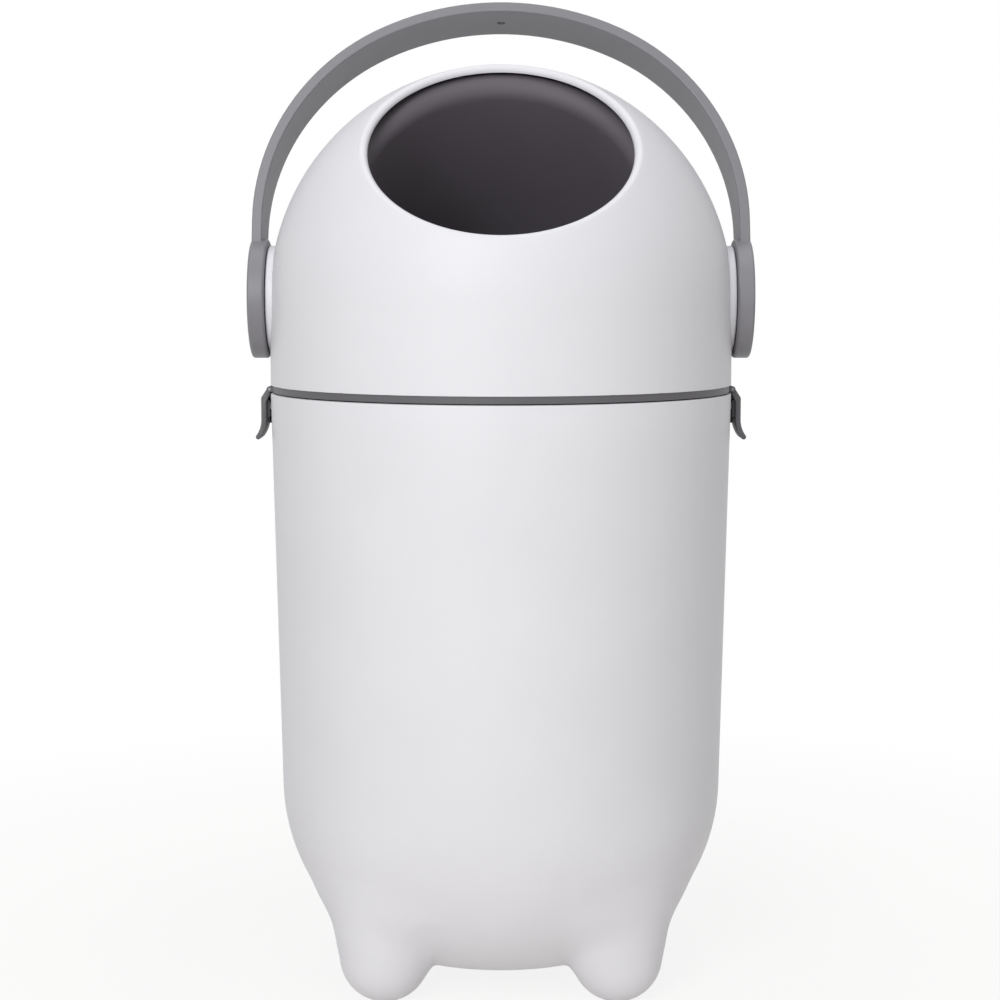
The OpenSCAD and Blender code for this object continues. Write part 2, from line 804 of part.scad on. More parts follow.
bin_shell();
dome_shell();
base_ring();
ring_screws();
rim_gasket();
opening_seal();
mirror([1, 0, 0]) bush();  // bush_left
bush();  // bush_right
mirror([1, 0, 0]) latch();  // latch_left
latch();  // latch_right
mirror([1, 0, 0]) latch_pin();  // latch_pin_left
latch_pin();  // latch_pin_right
drum_front();
drum_rear();
mirror([1, 0, 0]) axle();  // axle_left
axle();  // axle_right
handle();
mirror([1, 0, 0]) hub_screw();  // hub_screw_left
hub_screw();  // hub_screw_right
mirror([1, 0, 0]) hub_cap();  // hub_cap_left
hub_cap();  // hub_cap_right
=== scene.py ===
"""Nappy bin: a tapered white bin on four moulded feet, a domed head that holds a
tilting drum, and a grey hoop handle that turns the drum. Metres, Z up, front -Y."""

import json
import math

import bpy
import numpy as np
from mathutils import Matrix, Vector


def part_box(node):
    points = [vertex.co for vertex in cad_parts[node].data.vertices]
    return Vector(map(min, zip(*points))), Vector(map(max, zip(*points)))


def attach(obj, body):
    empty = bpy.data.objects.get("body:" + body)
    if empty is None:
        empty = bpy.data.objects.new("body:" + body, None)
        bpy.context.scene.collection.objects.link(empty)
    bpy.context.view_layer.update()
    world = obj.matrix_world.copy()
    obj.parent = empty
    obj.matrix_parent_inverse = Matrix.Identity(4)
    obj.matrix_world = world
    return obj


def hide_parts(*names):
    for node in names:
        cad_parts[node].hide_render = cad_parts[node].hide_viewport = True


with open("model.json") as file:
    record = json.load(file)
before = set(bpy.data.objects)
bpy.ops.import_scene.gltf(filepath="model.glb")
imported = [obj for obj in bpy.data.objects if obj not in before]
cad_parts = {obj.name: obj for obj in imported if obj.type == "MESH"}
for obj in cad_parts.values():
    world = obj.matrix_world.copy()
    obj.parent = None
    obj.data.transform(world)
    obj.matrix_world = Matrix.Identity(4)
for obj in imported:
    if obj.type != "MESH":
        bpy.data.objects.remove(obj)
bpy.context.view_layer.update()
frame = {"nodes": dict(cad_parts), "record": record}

# Bin
# A tapered bucket, injection moulded in one piece with its four feet, in white
# polypropylene. The mould is polished outside, so its skin has a soft sheen, and
# the feet grow out of the rounded shoulder with no edge between them.


def linear(code):
    """An sRGB hex colour as the linear colour that Blender mixes."""
    channels = [int(code[i:i + 2], 16) / 255 for i in (1, 3, 5)]
    return [c / 12.92 if c <= 0.04045 else ((c + 0.055) / 1.055) ** 2.4 for c in channels] + [1.0]


def add_node(material, kind, values=None, links=None, **settings):
    """Adds one node: its settings, the values of its sockets and what is linked into them."""
    node = material.node_tree.nodes.new(kind)
    for name, value in settings.items():
        setattr(node, name, value)
    for socket, value in (values or {}).items():
        node.inputs[socket].default_value = value
    for socket, source in (links or {}).items():
        material.node_tree.links.new(source, node.inputs[socket])
    return node


def new_material(name):
    """An empty material with its surface and output, and Object coordinates."""
    material = bpy.data.materials.new(name)
    material.use_nodes = True
    material.node_tree.nodes.clear()
    place = add_node(material, "ShaderNodeTexCoord").outputs["Object"]
    surface = add_node(material, "ShaderNodeBsdfPrincipled")
    add_node(material, "ShaderNodeOutputMaterial", links={"Surface": surface.outputs["BSDF"]})
    return material, surface, place


def finish_piece(piece, name, material, body, replaced, angle=35):
    """Names a finished piece, gives it its material and body, and smooths all but its sharp edges."""
    piece.name = name
    piece.data.name = name
    piece.data.materials.clear()
    piece.data.materials.append(material)
    bpy.ops.object.select_all(action="DESELECT")
    piece.select_set(True)
    bpy.context.view_layer.objects.active = piece
    bpy.ops.object.transform_apply(location=True, rotation=True, scale=True)
    bpy.ops.object.shade_smooth_by_angle(angle=math.radians(angle))
    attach(piece, body)
    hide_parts(replaced)


# Injection moulded white polypropylene: a clean cool white with a broad soft sheen.
# Flow in the mould leaves it a little cloudy, and its skin is very slightly uneven.
white_polypropylene, surface, place = new_material("white_polypropylene")
clouds = add_node(white_polypropylene, "ShaderNodeTexNoise", {"Scale": 18.0, "Detail": 3.0},
                  {"Vector": place})
tint = add_node(white_polypropylene, "ShaderNodeMix", {"A": linear("#e2e2e7"), "B": linear("#e8e8ed")},
                {"Factor": clouds.outputs["Fac"]}, data_type="RGBA")
sheen = add_node(white_polypropylene, "ShaderNodeMapRange", {"To Min": 0.48, "To Max": 0.54},
                 {"Value": clouds.outputs["Fac"]})
skin = add_node(white_polypropylene, "ShaderNodeTexNoise", {"Scale": 900.0, "Detail": 2.0}, {"Vector": place})
relief = add_node(white_polypropylene, "ShaderNodeBump", {"Strength": 0.05, "Distance": 0.0002},
                  {"Height": skin.outputs["Fac"]})
white_polypropylene.node_tree.links.new(tint.outputs["Result"], surface.inputs["Base Color"])
white_polypropylene.node_tree.links.new(sheen.outputs["Result"], surface.inputs["Roughness"])
white_polypropylene.node_tree.links.new(relief.outputs["Normal"], surface.inputs["Normal"])
surface.inputs["IOR"].default_value = 1.49

rim_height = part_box("bin_shell")[1][2]
rim_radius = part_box("dome_shell")[1][1]
wall_thickness = 0.003
# The wall narrows by 5.2 mm over 241.5 mm, from the rim down to the shoulder's middle.
wall_lean = math.atan(5.2 / 241.5)
wall_narrowing = 0.0052
shoulder_radius = 0.118
shoulder_height = 0.117
shoulder_middle = (rim_radius - wall_narrowing - shoulder_radius * math.cos(wall_lean),
                   shoulder_height + shoulder_radius * math.sin(wall_lean))
base_height = 0.018
base_corner = 0.030
corner_height = base_height + base_corner
corner_reach = shoulder_middle[0] + math.sqrt((shoulder_radius - base_corner) ** 2
                                              - (shoulder_middle[1] - corner_height) ** 2)
foot_middle = (0.069, 0.069, 0.0261)
foot_radius = 0.027
leg_middle = (0.0573, 0.0573, 0.088)
leg_radius = 0.051


def outside_body(r, z):
    """How far a point lies outside the bin's round body, in half section."""
    wall = (r - rim_radius) * math.cos(wall_lean) + (rim_height - z) * math.sin(wall_lean)
    dr, dz = r - shoulder_middle[0], z - shoulder_middle[1]
    shoulder = np.hypot(dr, dz) - shoulder_radius
    corner = np.where(r > corner_reach, np.hypot(r - corner_reach, z - corner_height) - base_corner,
                      base_height - z)
    down, out = (shoulder_middle[1] - corner_height), (corner_reach - shoulder_middle[0])
    below = np.where(out * dz + down * dr < 0, corner, shoulder)
    return np.where(dr * math.sin(wall_lean) + dz * math.cos(wall_lean) > 0, wall, below)


def outside_leg(points):
    """How far a point lies outside the nearest leg, a ball below and a larger one above."""
    folded = np.column_stack([np.abs(points[:, 0]), np.abs(points[:, 1]), points[:, 2]])
    axis = np.subtract(leg_middle, foot_middle)
    length = np.linalg.norm(axis)
    axis = axis / length
    offset = folded - np.array(foot_middle)
    along = offset @ axis
    across = np.sqrt(np.maximum((offset ** 2).sum(axis=1) - along ** 2, 0))
    flare = (foot_radius - leg_radius) / length
    side = math.sqrt(1 - flare ** 2)
    reach = along * side - across * flare
    cone = across * side + along * flare - foot_radius
    lower = np.hypot(across, along) - foot_radius
    upper = np.hypot(across, along - length) - leg_radius
    return np.where(reach < 0, lower, np.where(reach > side * length, upper, cone))


# The blend is full at the shoulder and tight where a foot leaves the flat base.
leg_blend = 0.022
blend_rise = 0.040
blend_least = 0.15
blend_rate = 3


def outside_bin(points):
    """The same for body and legs together, blended where they meet at an angle."""
    step = 1e-4
    body = outside_body(np.hypot(points[:, 0], points[:, 1]), points[:, 2])
    leg = outside_leg(points)
    turn = np.zeros(len(points))
    for axis in np.eye(3) * step:
        ahead = points + axis
        body_ahead = outside_body(np.hypot(ahead[:, 0], ahead[:, 1]), ahead[:, 2])
        turn += (body_ahead - body) * (outside_leg(ahead) - leg) / step ** 2
    fade = np.clip((points[:, 2] - base_height) / blend_rise, blend_least, 1)
    crossing = np.sqrt(np.clip((1 - turn) / 2, 0, 1))
    blend = leg_blend * fade * np.clip(blend_rate * crossing, 0, 1) + 1e-6
    mix = np.clip(0.5 + 0.5 * (leg - body) / blend, 0, 1)
    return leg + (body - leg) * mix - blend * mix * (1 - mix)


# The point on each ray starts outside the bin and steps back in until it is on the skin.
ray_height = 0.25
ray_reach = 0.32
ray_step = 0.9
ray_tries = 60


def bin_skin(azimuth, fall, inset):
    """Where a ray from the bin's axis, at an angle from straight down, meets the skin or the inner face."""
    ray = np.column_stack([np.sin(fall) * np.cos(azimuth), np.sin(fall) * np.sin(azimuth), -np.cos(fall)])
    start = np.array([0, 0, ray_height])
    reach = np.full(len(fall), ray_reach)
    for _ in range(ray_tries):
        reach -= ray_step * (outside_bin(start + ray * reach[:, None]) + inset)
    skin = start + ray * reach[:, None]
    skin[:, 2] = np.maximum(skin[:, 2], inset)
    return skin


# Rows of the grid: down the skin, closest where the legs leave the body, then over the
# rim's rounded edge and back down the inner face.
rim_edge = 0.001
falls = np.radians(np.concatenate([np.linspace(0, 14, 9), np.linspace(14, 32, 71)[1:],
                                   np.linspace(32, 50, 41)[1:], np.linspace(50, 90, 11)[1:]]))
inner_falls = np.radians(np.concatenate([np.linspace(90, 50, 8), np.linspace(50, 32, 16)[1:],
                                         np.linspace(32, 14, 31)[1:], np.linspace(14, 0, 5)[1:]]))
quarter = np.linspace(0, math.pi / 2, 6)
top_middle = rim_height - rim_edge
stations = [("skin", fall) for fall in falls]
stations += [("wall", (rim_radius - (rim_height - z) * math.tan(wall_lean), z))
             for z in np.linspace(ray_height, top_middle, 5)[1:-1]]
stations += [("wall", (rim_radius - rim_edge + rim_edge * math.cos(a), top_middle + rim_edge * math.sin(a)))
             for a in quarter]
stations += [("wall", (rim_radius - wall_thickness + rim_edge - rim_edge * math.cos(a),
                       top_middle + rim_edge * math.sin(a))) for a in quarter[::-1]]
stations += [("wall", (rim_radius - wall_thickness - (rim_height - z) * math.tan(wall_lean), z))
             for z in np.linspace(top_middle, ray_height, 5)[1:-1]]
stations += [("inner", fall) for fall in inner_falls]

bpy.ops.object.select_all(action="DESELECT")
columns = 240
rows = len(stations) - 1
bpy.ops.mesh.primitive_grid_add(x_subdivisions=columns, y_subdivisions=rows, size=1)
bin_piece = bpy.context.object
sheet = np.empty(len(bin_piece.data.vertices) * 3)
bin_piece.data.vertices.foreach_get("co", sheet)
sheet = sheet.reshape(-1, 3)
azimuth = np.round((sheet[:, 0] + 0.5) * columns) % columns * 2 * math.pi / columns
row = np.round((sheet[:, 1] + 0.5) * rows).astype(int)
for index, (kind, value) in enumerate(stations):
    here = np.nonzero(row == index)[0]
    if kind == "wall":
        sheet[here] = np.column_stack([value[0] * np.cos(azimuth[here]), value[0] * np.sin(azimuth[here]),
                                       np.full(len(here), value[1])])
    else:
        inset = 0 if kind == "skin" else wall_thickness
        sheet[here] = bin_skin(azimuth[here], np.full(len(here), value), inset)
bin_piece.data.vertices.foreach_set("co", sheet.ravel())
bpy.ops.object.mode_set(mode="EDIT")
bpy.ops.mesh.select_all(action="SELECT")
bpy.ops.mesh.remove_doubles(threshold=1e-6)
bpy.ops.mesh.normals_make_consistent(inside=False)
bpy.ops.object.mode_set(mode="OBJECT")

# A wedge on each side, moulded with the wall, which the latch's toe snaps under.
catch_height = 0.34815
catch_root = rim_radius - (rim_height - catch_height) * math.tan(wall_lean) - wall_thickness / 2
catch_end = 0.1429
catch_nose = 0.002
catch_rise = 0.006
catch_half = 0.0055
catch_edge = 0.0004
catches = []
for side in (-1, 1):
    bpy.ops.mesh.primitive_cube_add(size=1)
    catch = bpy.context.object
    for vertex in catch.data.vertices:
        outer, upper = vertex.co.x * side > 0, vertex.co.z > 0
        rise = (catch_nose if outer else catch_rise) if upper else 0
        vertex.co = (side * (catch_end if outer else catch_root),
                     math.copysign(catch_half, vertex.co.y), catch_height + rise)
    bpy.ops.object.mode_set(mode="EDIT")
    bpy.ops.mesh.select_all(action="SELECT")
    bpy.ops.mesh.normals_make_consistent(inside=False)
    bpy.ops.mesh.bevel(offset=catch_edge, segments=2, affect="EDGES")
    bpy.ops.object.mode_set(mode="OBJECT")
    catches.append(catch)
bpy.ops.object.select_all(action="DESELECT")
for catch in catches:
    catch.select_set(True)
bin_piece.select_set(True)
bpy.context.view_layer.objects.active = bin_piece
bpy.ops.object.join()
finish_piece(bin_piece, "bin", white_polypropylene, "bin", "bin_shell")

# Rim ring
# The grey ring screwed up under the head, with the latches' ears and the collar that
# centres the head in the bin. It is injection moulded, and sits back in the seam.


def dress(names, material):
    """Gives the CAD's own pieces their material."""
    for name in names:
        node = frame["nodes"][name]
        node.data.materials.clear()
        node.data.materials.append(material)


# Moulded ABS in the handle's mid grey, darkened to a slate grey as painted shade for the ring sitting back in
# the seam; the latches wear it too.
# The fine spark texture of its mould takes the gloss off, so it shows hardly any highlight.
shade_darkened_abs, surface, place = new_material("shade_darkened_grey_abs")
cloud = add_node(shade_darkened_abs, "ShaderNodeTexNoise", {"Scale": 30.0, "Detail": 3.0}, {"Vector": place})
tint = add_node(shade_darkened_abs, "ShaderNodeMix", {"A": linear("#58575b"), "B": linear("#5f5e62")},
                {"Factor": cloud.outputs["Fac"]}, data_type="RGBA")
sheen = add_node(shade_darkened_abs, "ShaderNodeMapRange", {"To Min": 0.46, "To Max": 0.54},
                 {"Value": cloud.outputs["Fac"]})
spark = add_node(shade_darkened_abs, "ShaderNodeTexNoise", {"Scale": 2200.0, "Detail": 2.0}, {"Vector": place})
relief = add_node(shade_darkened_abs, "ShaderNodeBump", {"Strength": 0.12, "Distance": 0.0001},
                  {"Height": spark.outputs["Fac"]})
shade_darkened_abs.node_tree.links.new(tint.outputs["Result"], surface.inputs["Base Color"])
shade_darkened_abs.node_tree.links.new(sheen.outputs["Result"], surface.inputs["Roughness"])
shade_darkened_abs.node_tree.links.new(relief.outputs["Normal"], surface.inputs["Normal"])

# The seam stands a little taller than the CAD ring, so the ring's top and its inner
# lip go up by that much, and the head's skirt ends on it.
seam_rise = 0.00085
ring_top = 0.3625
bpy.ops.object.select_all(action="DESELECT")
ring = bpy.data.objects.new("rim_ring", frame["nodes"]["base_ring"].data.copy())
bpy.context.scene.collection.objects.link(ring)
ring.select_set(True)
bpy.context.view_layer.objects.active = ring
bpy.ops.object.mode_set(mode="EDIT")
bpy.ops.mesh.select_all(action="SELECT")
bpy.ops.mesh.remove_doubles(threshold=1e-6)
bpy.ops.object.mode_set(mode="OBJECT")
for vertex in ring.data.vertices:
    if vertex.co.z > ring_top:
        vertex.co.z += seam_rise
# The ring wears the grey that is darkened as painted shade for the seam.
finish_piece(ring, "rim_ring", shade_darkened_abs, "head", "base_ring", angle=8)

# Seals
# Two rubber rings: the gasket between the bin's rim and the ring, and the one behind
# the opening's lip that wipes the drum. Both are extruded and pressed into place.

# Black EPDM rubber. It is matt from the talc it is packed in, with a faint grain, so
# it shows as a soft dark line.
black_rubber, surface, place = new_material("black_epdm_rubber")
talc = add_node(black_rubber, "ShaderNodeTexNoise", {"Scale": 60.0, "Detail": 4.0}, {"Vector": place})
tint = add_node(black_rubber, "ShaderNodeMix", {"A": linear("#1a1a1b"), "B": linear("#262627")},
                {"Factor": talc.outputs["Fac"]}, data_type="RGBA")
matt = add_node(black_rubber, "ShaderNodeMapRange", {"To Min": 0.68, "To Max": 0.82},
                {"Value": talc.outputs["Fac"]})
grain = add_node(black_rubber, "ShaderNodeTexNoise", {"Scale": 1800.0, "Detail": 2.0}, {"Vector": place})
relief = add_node(black_rubber, "ShaderNodeBump", {"Strength": 0.2, "Distance": 0.0001},
                  {"Height": grain.outputs["Fac"]})
black_rubber.node_tree.links.new(tint.outputs["Result"], surface.inputs["Base Color"])
black_rubber.node_tree.links.new(matt.outputs["Result"], surface.inputs["Roughness"])
black_rubber.node_tree.links.new(relief.outputs["Normal"], surface.inputs["Normal"])
dress(["rim_gasket", "opening_seal"], black_rubber)

# Dome
# The head's cover, moulded in the same white polypropylene: a dome on a short skirt,
# a round opening with a rolled lip, a boss on each side for the handle's axle, and
# six posts inside the skirt that take the ring's screws.
joints = {joint["name"]: joint for joint in frame["record"]["behaviour"]["joints"]}
hub_height = joints["handle_swing"]["pos_m"][2]
skirt_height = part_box("dome_shell")[0][2] + seam_rise
inner_radius = rim_radius - wall_thickness
opening_tilt = math.radians(49.7)
opening_radius = 0.0764
lip_radius = 0.0032
drum_clear = 0.1352
lip_reach = rim_radius - lip_radius
lip_turn = math.asin((opening_radius + lip_radius) / lip_reach)


def lip_turn_to(sphere):
    """How far round the lip, from its outermost point, it meets a sphere about the hub."""
    return math.acos((sphere ** 2 - lip_reach ** 2 - lip_radius ** 2) / (2 * lip_reach * lip_radius))


def on_lip(turn):
    """A point of the lip's round, turned towards the opening from its outermost point."""
    return (lip_reach * math.sin(lip_turn) + lip_radius * math.sin(lip_turn - turn),
            lip_reach * math.cos(lip_turn) + lip_radius * math.cos(lip_turn - turn))


def on_sphere(sphere, start, end, steps):
    """Points of a sphere's half section, from one angle off the opening's axis to another."""
    return [(sphere * math.sin(t), sphere * math.cos(t)) for t in np.linspace(start, end, steps)]


back_turn = lip_turn_to(drum_clear)
wall_turn = lip_turn_to(inner_radius)
near_edge = math.atan2(*on_lip(back_turn))
far_edge = math.atan2(*on_lip(-back_turn))
wall_start = math.atan2(*on_lip(-wall_turn))
dome_steps = 100
inner_steps = 80
spin_steps = 240
outline = on_sphere(rim_radius, math.pi, lip_turn, dome_steps)
outline += [on_lip(turn) for turn in np.linspace(0, back_turn, 15)[1:]]
outline += on_sphere(drum_clear, near_edge, far_edge, 5)[1:]
outline += [on_lip(turn) for turn in np.linspace(-back_turn, -wall_turn, 5)[1:]]
outline += on_sphere(inner_radius, wall_start, math.pi, inner_steps)[1:]

bpy.ops.object.select_all(action="DESELECT")
bpy.ops.mesh.primitive_circle_add(vertices=len(outline), radius=1)
dome = bpy.context.object
for vertex, (r, h) in zip(dome.data.vertices, outline):
    vertex.co = (r, 0, h)
bpy.ops.object.mode_set(mode="EDIT")
bpy.ops.mesh.select_all(action="SELECT")
bpy.ops.mesh.spin(steps=spin_steps, angle=2 * math.pi, center=(0, 0, 0), axis=(0, 0, 1))
bpy.ops.mesh.select_all(action="SELECT")
bpy.ops.mesh.remove_doubles(threshold=2e-6)
bpy.ops.object.mode_set(mode="OBJECT")
dome.rotation_euler = (math.pi / 2 - opening_tilt, 0, 0)
dome.location = (0, 0, hub_height)
bpy.ops.object.transform_apply(location=True, rotation=True, scale=True)
bpy.ops.object.mode_set(mode="EDIT")
bpy.ops.mesh.select_all(action="SELECT")
bpy.ops.mesh.bisect(plane_co=(0, 0, hub_height), plane_no=(0, 0, 1), clear_inner=True)
bpy.ops.mesh.select_all(action="DESELECT")
bpy.ops.mesh.select_mode(type="EDGE")
bpy.ops.mesh.select_non_manifold()
bpy.ops.mesh.extrude_region_move(TRANSFORM_OT_translate={"value": (0, 0, skirt_height - hub_height)})
bpy.ops.mesh.bridge_edge_loops()
bpy.ops.mesh.select_all(action="SELECT")
bpy.ops.mesh.normals_make_consistent(inside=False)
bpy.ops.object.mode_set(mode="OBJECT")


def combine(piece, tool, operation):
    """Joins a tool to a piece, or cuts it away, and removes the tool."""
    modifier = piece.modifiers.new("combine", "BOOLEAN")
    modifier.object = tool
    modifier.operation = operation
    modifier.solver = "EXACT"
    bpy.ops.object.select_all(action="DESELECT")
    piece.select_set(True)
    bpy.context.view_layer.objects.active = piece
    bpy.ops.object.modifier_apply(modifier=modifier.name)
    bpy.data.objects.remove(tool)


def side_disc(side, radius, start, end, edge):
    """A disc about the handle's axis on one side, with its outer edge rounded."""
    bpy.ops.mesh.primitive_cylinder_add(vertices=128, radius=radius, depth=end - start,
                                        location=(side * (start + end) / 2, 0, hub_height),
                                        rotation=(0, side * math.pi / 2, 0))
    disc = bpy.context.object
    bpy.ops.object.transform_apply(location=True, rotation=True, scale=True)
    if edge:
        bpy.ops.object.mode_set(mode="EDIT")
        bpy.ops.mesh.select_all(action="DESELECT")
        bpy.ops.object.mode_set(mode="OBJECT")
        for line in disc.data.edges:
            line.select = all(abs(disc.data.vertices[v].co.x - side * end) < 1e-6 for v in line.vertices)
        bpy.ops.object.mode_set(mode="EDIT")
        bpy.ops.mesh.select_mode(type="EDGE")
        bpy.ops.mesh.bevel(offset=edge, segments=4, affect="EDGES")
        bpy.ops.object.mode_set(mode="OBJECT")
    return disc


boss_radius = 0.032
boss_start = 0.1342
boss_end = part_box("dome_shell")[1][0]
boss_edge = 0.0012
bore_radius = 0.01305
sleeve_radius = 0.0165
sleeve_start = 0.1332
sleeve_end = boss_start + wall_thickness
bore_start = 0.12
bore_end = 0.15
for side in (-1, 1):
    combine(dome, side_disc(side, boss_radius, boss_start, boss_end, boss_edge), "UNION")
    combine(dome, side_disc(side, sleeve_radius, sleeve_start, sleeve_end, 0), "UNION")
    combine(dome, side_disc(side, bore_radius, bore_start, bore_end, 0), "DIFFERENCE")

post_track = 0.132
post_radius = 0.0034
post_height = 0.0094
rib_width = 0.002
rib_end = inner_radius + wall_thickness / 2
post_count = 6
bpy.ops.object.select_all(action="DESELECT")
bpy.ops.mesh.primitive_cylinder_add(vertices=40, radius=post_radius, depth=post_height,
                                    location=(post_track, 0, skirt_height + post_height / 2))
post = bpy.context.object
bpy.ops.object.transform_apply(location=True, rotation=True, scale=True)
rib_place = ((post_track + rib_end) / 2, 0, skirt_height + post_height / 2)
bpy.ops.mesh.primitive_cube_add(size=1, location=rib_place,
                                scale=(rib_end - post_track, rib_width, post_height))
rib = bpy.context.object
bpy.ops.object.transform_apply(location=True, rotation=True, scale=True)
combine(post, rib, "UNION")
posts = []
for index in range(post_count):
    copy = post.copy()
    copy.data = post.data.copy()
    copy.rotation_euler = (0, 0, (index + 0.5) * 2 * math.pi / post_count)
    bpy.context.scene.collection.objects.link(copy)
    posts.append(copy)
bpy.data.objects.remove(post)
bpy.ops.object.select_all(action="DESELECT")
for copy in posts:
    copy.select_set(True)
dome.select_set(True)
bpy.context.view_layer.objects.active = dome
bpy.ops.object.join()
finish_piece(dome, "dome", white_polypropylene, "head", "dome_shell")

# Bushes
# A flanged plain bearing of natural acetal, pressed into each boss and machined to a
# close bore for the axle that turns in it.

# Natural acetal: creamy white and waxy, machined smooth, so it has a soft tight shine.
acetal, surface, place = new_material("natural_acetal")
wax = add_node(acetal, "ShaderNodeTexNoise", {"Scale": 80.0, "Detail": 3.0}, {"Vector": place})
tint = add_node(acetal, "ShaderNodeMix", {"A": linear("#d6d4ca"), "B": linear("#deddd4")},
                {"Factor": wax.outputs["Fac"]}, data_type="RGBA")
sheen = add_node(acetal, "ShaderNodeMapRange", {"To Min": 0.28, "To Max": 0.36},
                 {"Value": wax.outputs["Fac"]})
lathe = add_node(acetal, "ShaderNodeTexNoise", {"Scale": 1500.0, "Detail": 1.0}, {"Vector": place})
relief = add_node(acetal, "ShaderNodeBump", {"Strength": 0.06, "Distance": 0.0001},
                  {"Height": lathe.outputs["Fac"]})
acetal.node_tree.links.new(tint.outputs["Result"], surface.inputs["Base Color"])
acetal.node_tree.links.new(sheen.outputs["Result"], surface.inputs["Roughness"])
acetal.node_tree.links.new(relief.outputs["Normal"], surface.inputs["Normal"])
dress(["bush_left", "bush_right"], acetal)

# Drum
# Two moulded halves that close on the axles' flanges. The front one has the deep
# pocket with its rolled mouth, and the rear one is the closed back that seals the head.

# Moulded ABS in a dark grey with a touch of violet. Its mould is finely blasted, so the
# mouth's round shows only a broad soft glow and the pocket's floor stays dim.
dark_abs, surface, place = new_material("dark_grey_abs")
cloud = add_node(dark_abs, "ShaderNodeTexNoise", {"Scale": 22.0, "Detail": 3.0}, {"Vector": place})
tint = add_node(dark_abs, "ShaderNodeMix", {"A": linear("#565158"), "B": linear("#5d585f")},
                {"Factor": cloud.outputs["Fac"]}, data_type="RGBA")
sheen = add_node(dark_abs, "ShaderNodeMapRange", {"To Min": 0.60, "To Max": 0.68},
                 {"Value": cloud.outputs["Fac"]})
skin = add_node(dark_abs, "ShaderNodeTexNoise", {"Scale": 1200.0, "Detail": 2.0}, {"Vector": place})
relief = add_node(dark_abs, "ShaderNodeBump", {"Strength": 0.06, "Distance": 0.0001},
                  {"Height": skin.outputs["Fac"]})
dark_abs.node_tree.links.new(tint.outputs["Result"], surface.inputs["Base Color"])
dark_abs.node_tree.links.new(sheen.outputs["Result"], surface.inputs["Roughness"])
dark_abs.node_tree.links.new(relief.outputs["Normal"], surface.inputs["Normal"])
dress(["drum_front", "drum_rear"], dark_abs)

# Axles and handle
# The axles drive the handle's hubs by a square, and the hoop is one moulding with its
# hubs. A cap closes each hub over its screw.

# Moulded ABS in a mid grey, with a fine spark texture that breaks its highlight into
# a broad satin sheen.
grey_abs, surface, place = new_material("mid_grey_abs")
cloud = add_node(grey_abs, "ShaderNodeTexNoise", {"Scale": 20.0, "Detail": 3.0}, {"Vector": place})
tint = add_node(grey_abs, "ShaderNodeMix", {"A": linear("#7c7b80"), "B": linear("#848388")},
                {"Factor": cloud.outputs["Fac"]}, data_type="RGBA")
sheen = add_node(grey_abs, "ShaderNodeMapRange", {"To Min": 0.42, "To Max": 0.5},
                 {"Value": cloud.outputs["Fac"]})
spark = add_node(grey_abs, "ShaderNodeTexNoise", {"Scale": 1800.0, "Detail": 2.0}, {"Vector": place})
relief = add_node(grey_abs, "ShaderNodeBump", {"Strength": 0.1, "Distance": 0.0001},
                  {"Height": spark.outputs["Fac"]})
grey_abs.node_tree.links.new(tint.outputs["Result"], surface.inputs["Base Color"])
grey_abs.node_tree.links.new(sheen.outputs["Result"], surface.inputs["Roughness"])
grey_abs.node_tree.links.new(relief.outputs["Normal"], surface.inputs["Normal"])
dress(["axle_left", "axle_right", "handle", "hub_cap_left", "hub_cap_right"], grey_abs)

# Latches
# A hooked plate on each side, moulded in one piece: a knuckle on the pin, an arm down to
# the plate, a finger tab that curves outwards, flanks with the toe, and a web behind.
pin_place = (joints["right_latch_swing"]["pos_m"][0], joints["right_latch_swing"]["pos_m"][2])
knuckle_radius = 0.0016
latch_half = 0.013
latch_thick = 0.003
arm_thick = 0.0022
plate_middle = 0.1439
elbow_height = 0.3543
bend_height = 0.3421
tab_radius = 0.0178
tab_turn = math.radians(36.6)
arm_turn = math.atan2(elbow_height - pin_place[1], plate_middle - pin_place[0])
arm_side = (-math.sin(arm_turn), math.cos(arm_turn))
tab_middle = (plate_middle + tab_radius, bend_height)


def around(middle, radius, start, end, steps):
    """Points of an arc in a half section."""
    return [(middle[0] + radius * math.cos(t), middle[1] + radius * math.sin(t))
            for t in np.linspace(start, end, steps)]


def block(corners, low, high, edge):
    """A plate from its outline in X and Z and its two ends in Y, with all its edges eased."""
    bpy.ops.object.select_all(action="DESELECT")
    bpy.ops.mesh.primitive_circle_add(vertices=len(corners), radius=1, fill_type="NGON")
    made = bpy.context.object
    for vertex, (x, z) in zip(made.data.vertices, corners):
        vertex.co = (x, low, z)
    bpy.ops.object.mode_set(mode="EDIT")
    bpy.ops.mesh.select_all(action="SELECT")
    bpy.ops.mesh.extrude_region_move(TRANSFORM_OT_translate={"value": (0, high - low, 0)})
    bpy.ops.mesh.select_all(action="SELECT")
    bpy.ops.mesh.normals_make_consistent(inside=False)
    bpy.ops.object.mode_set(mode="OBJECT")
    modifier = made.modifiers.new("ease", "BEVEL")
    modifier.width = edge
    modifier.segments = 2
    modifier.limit_method = "ANGLE"
    modifier.angle_limit = math.radians(50)
    bpy.ops.object.modifier_apply(modifier=modifier.name)
    return made


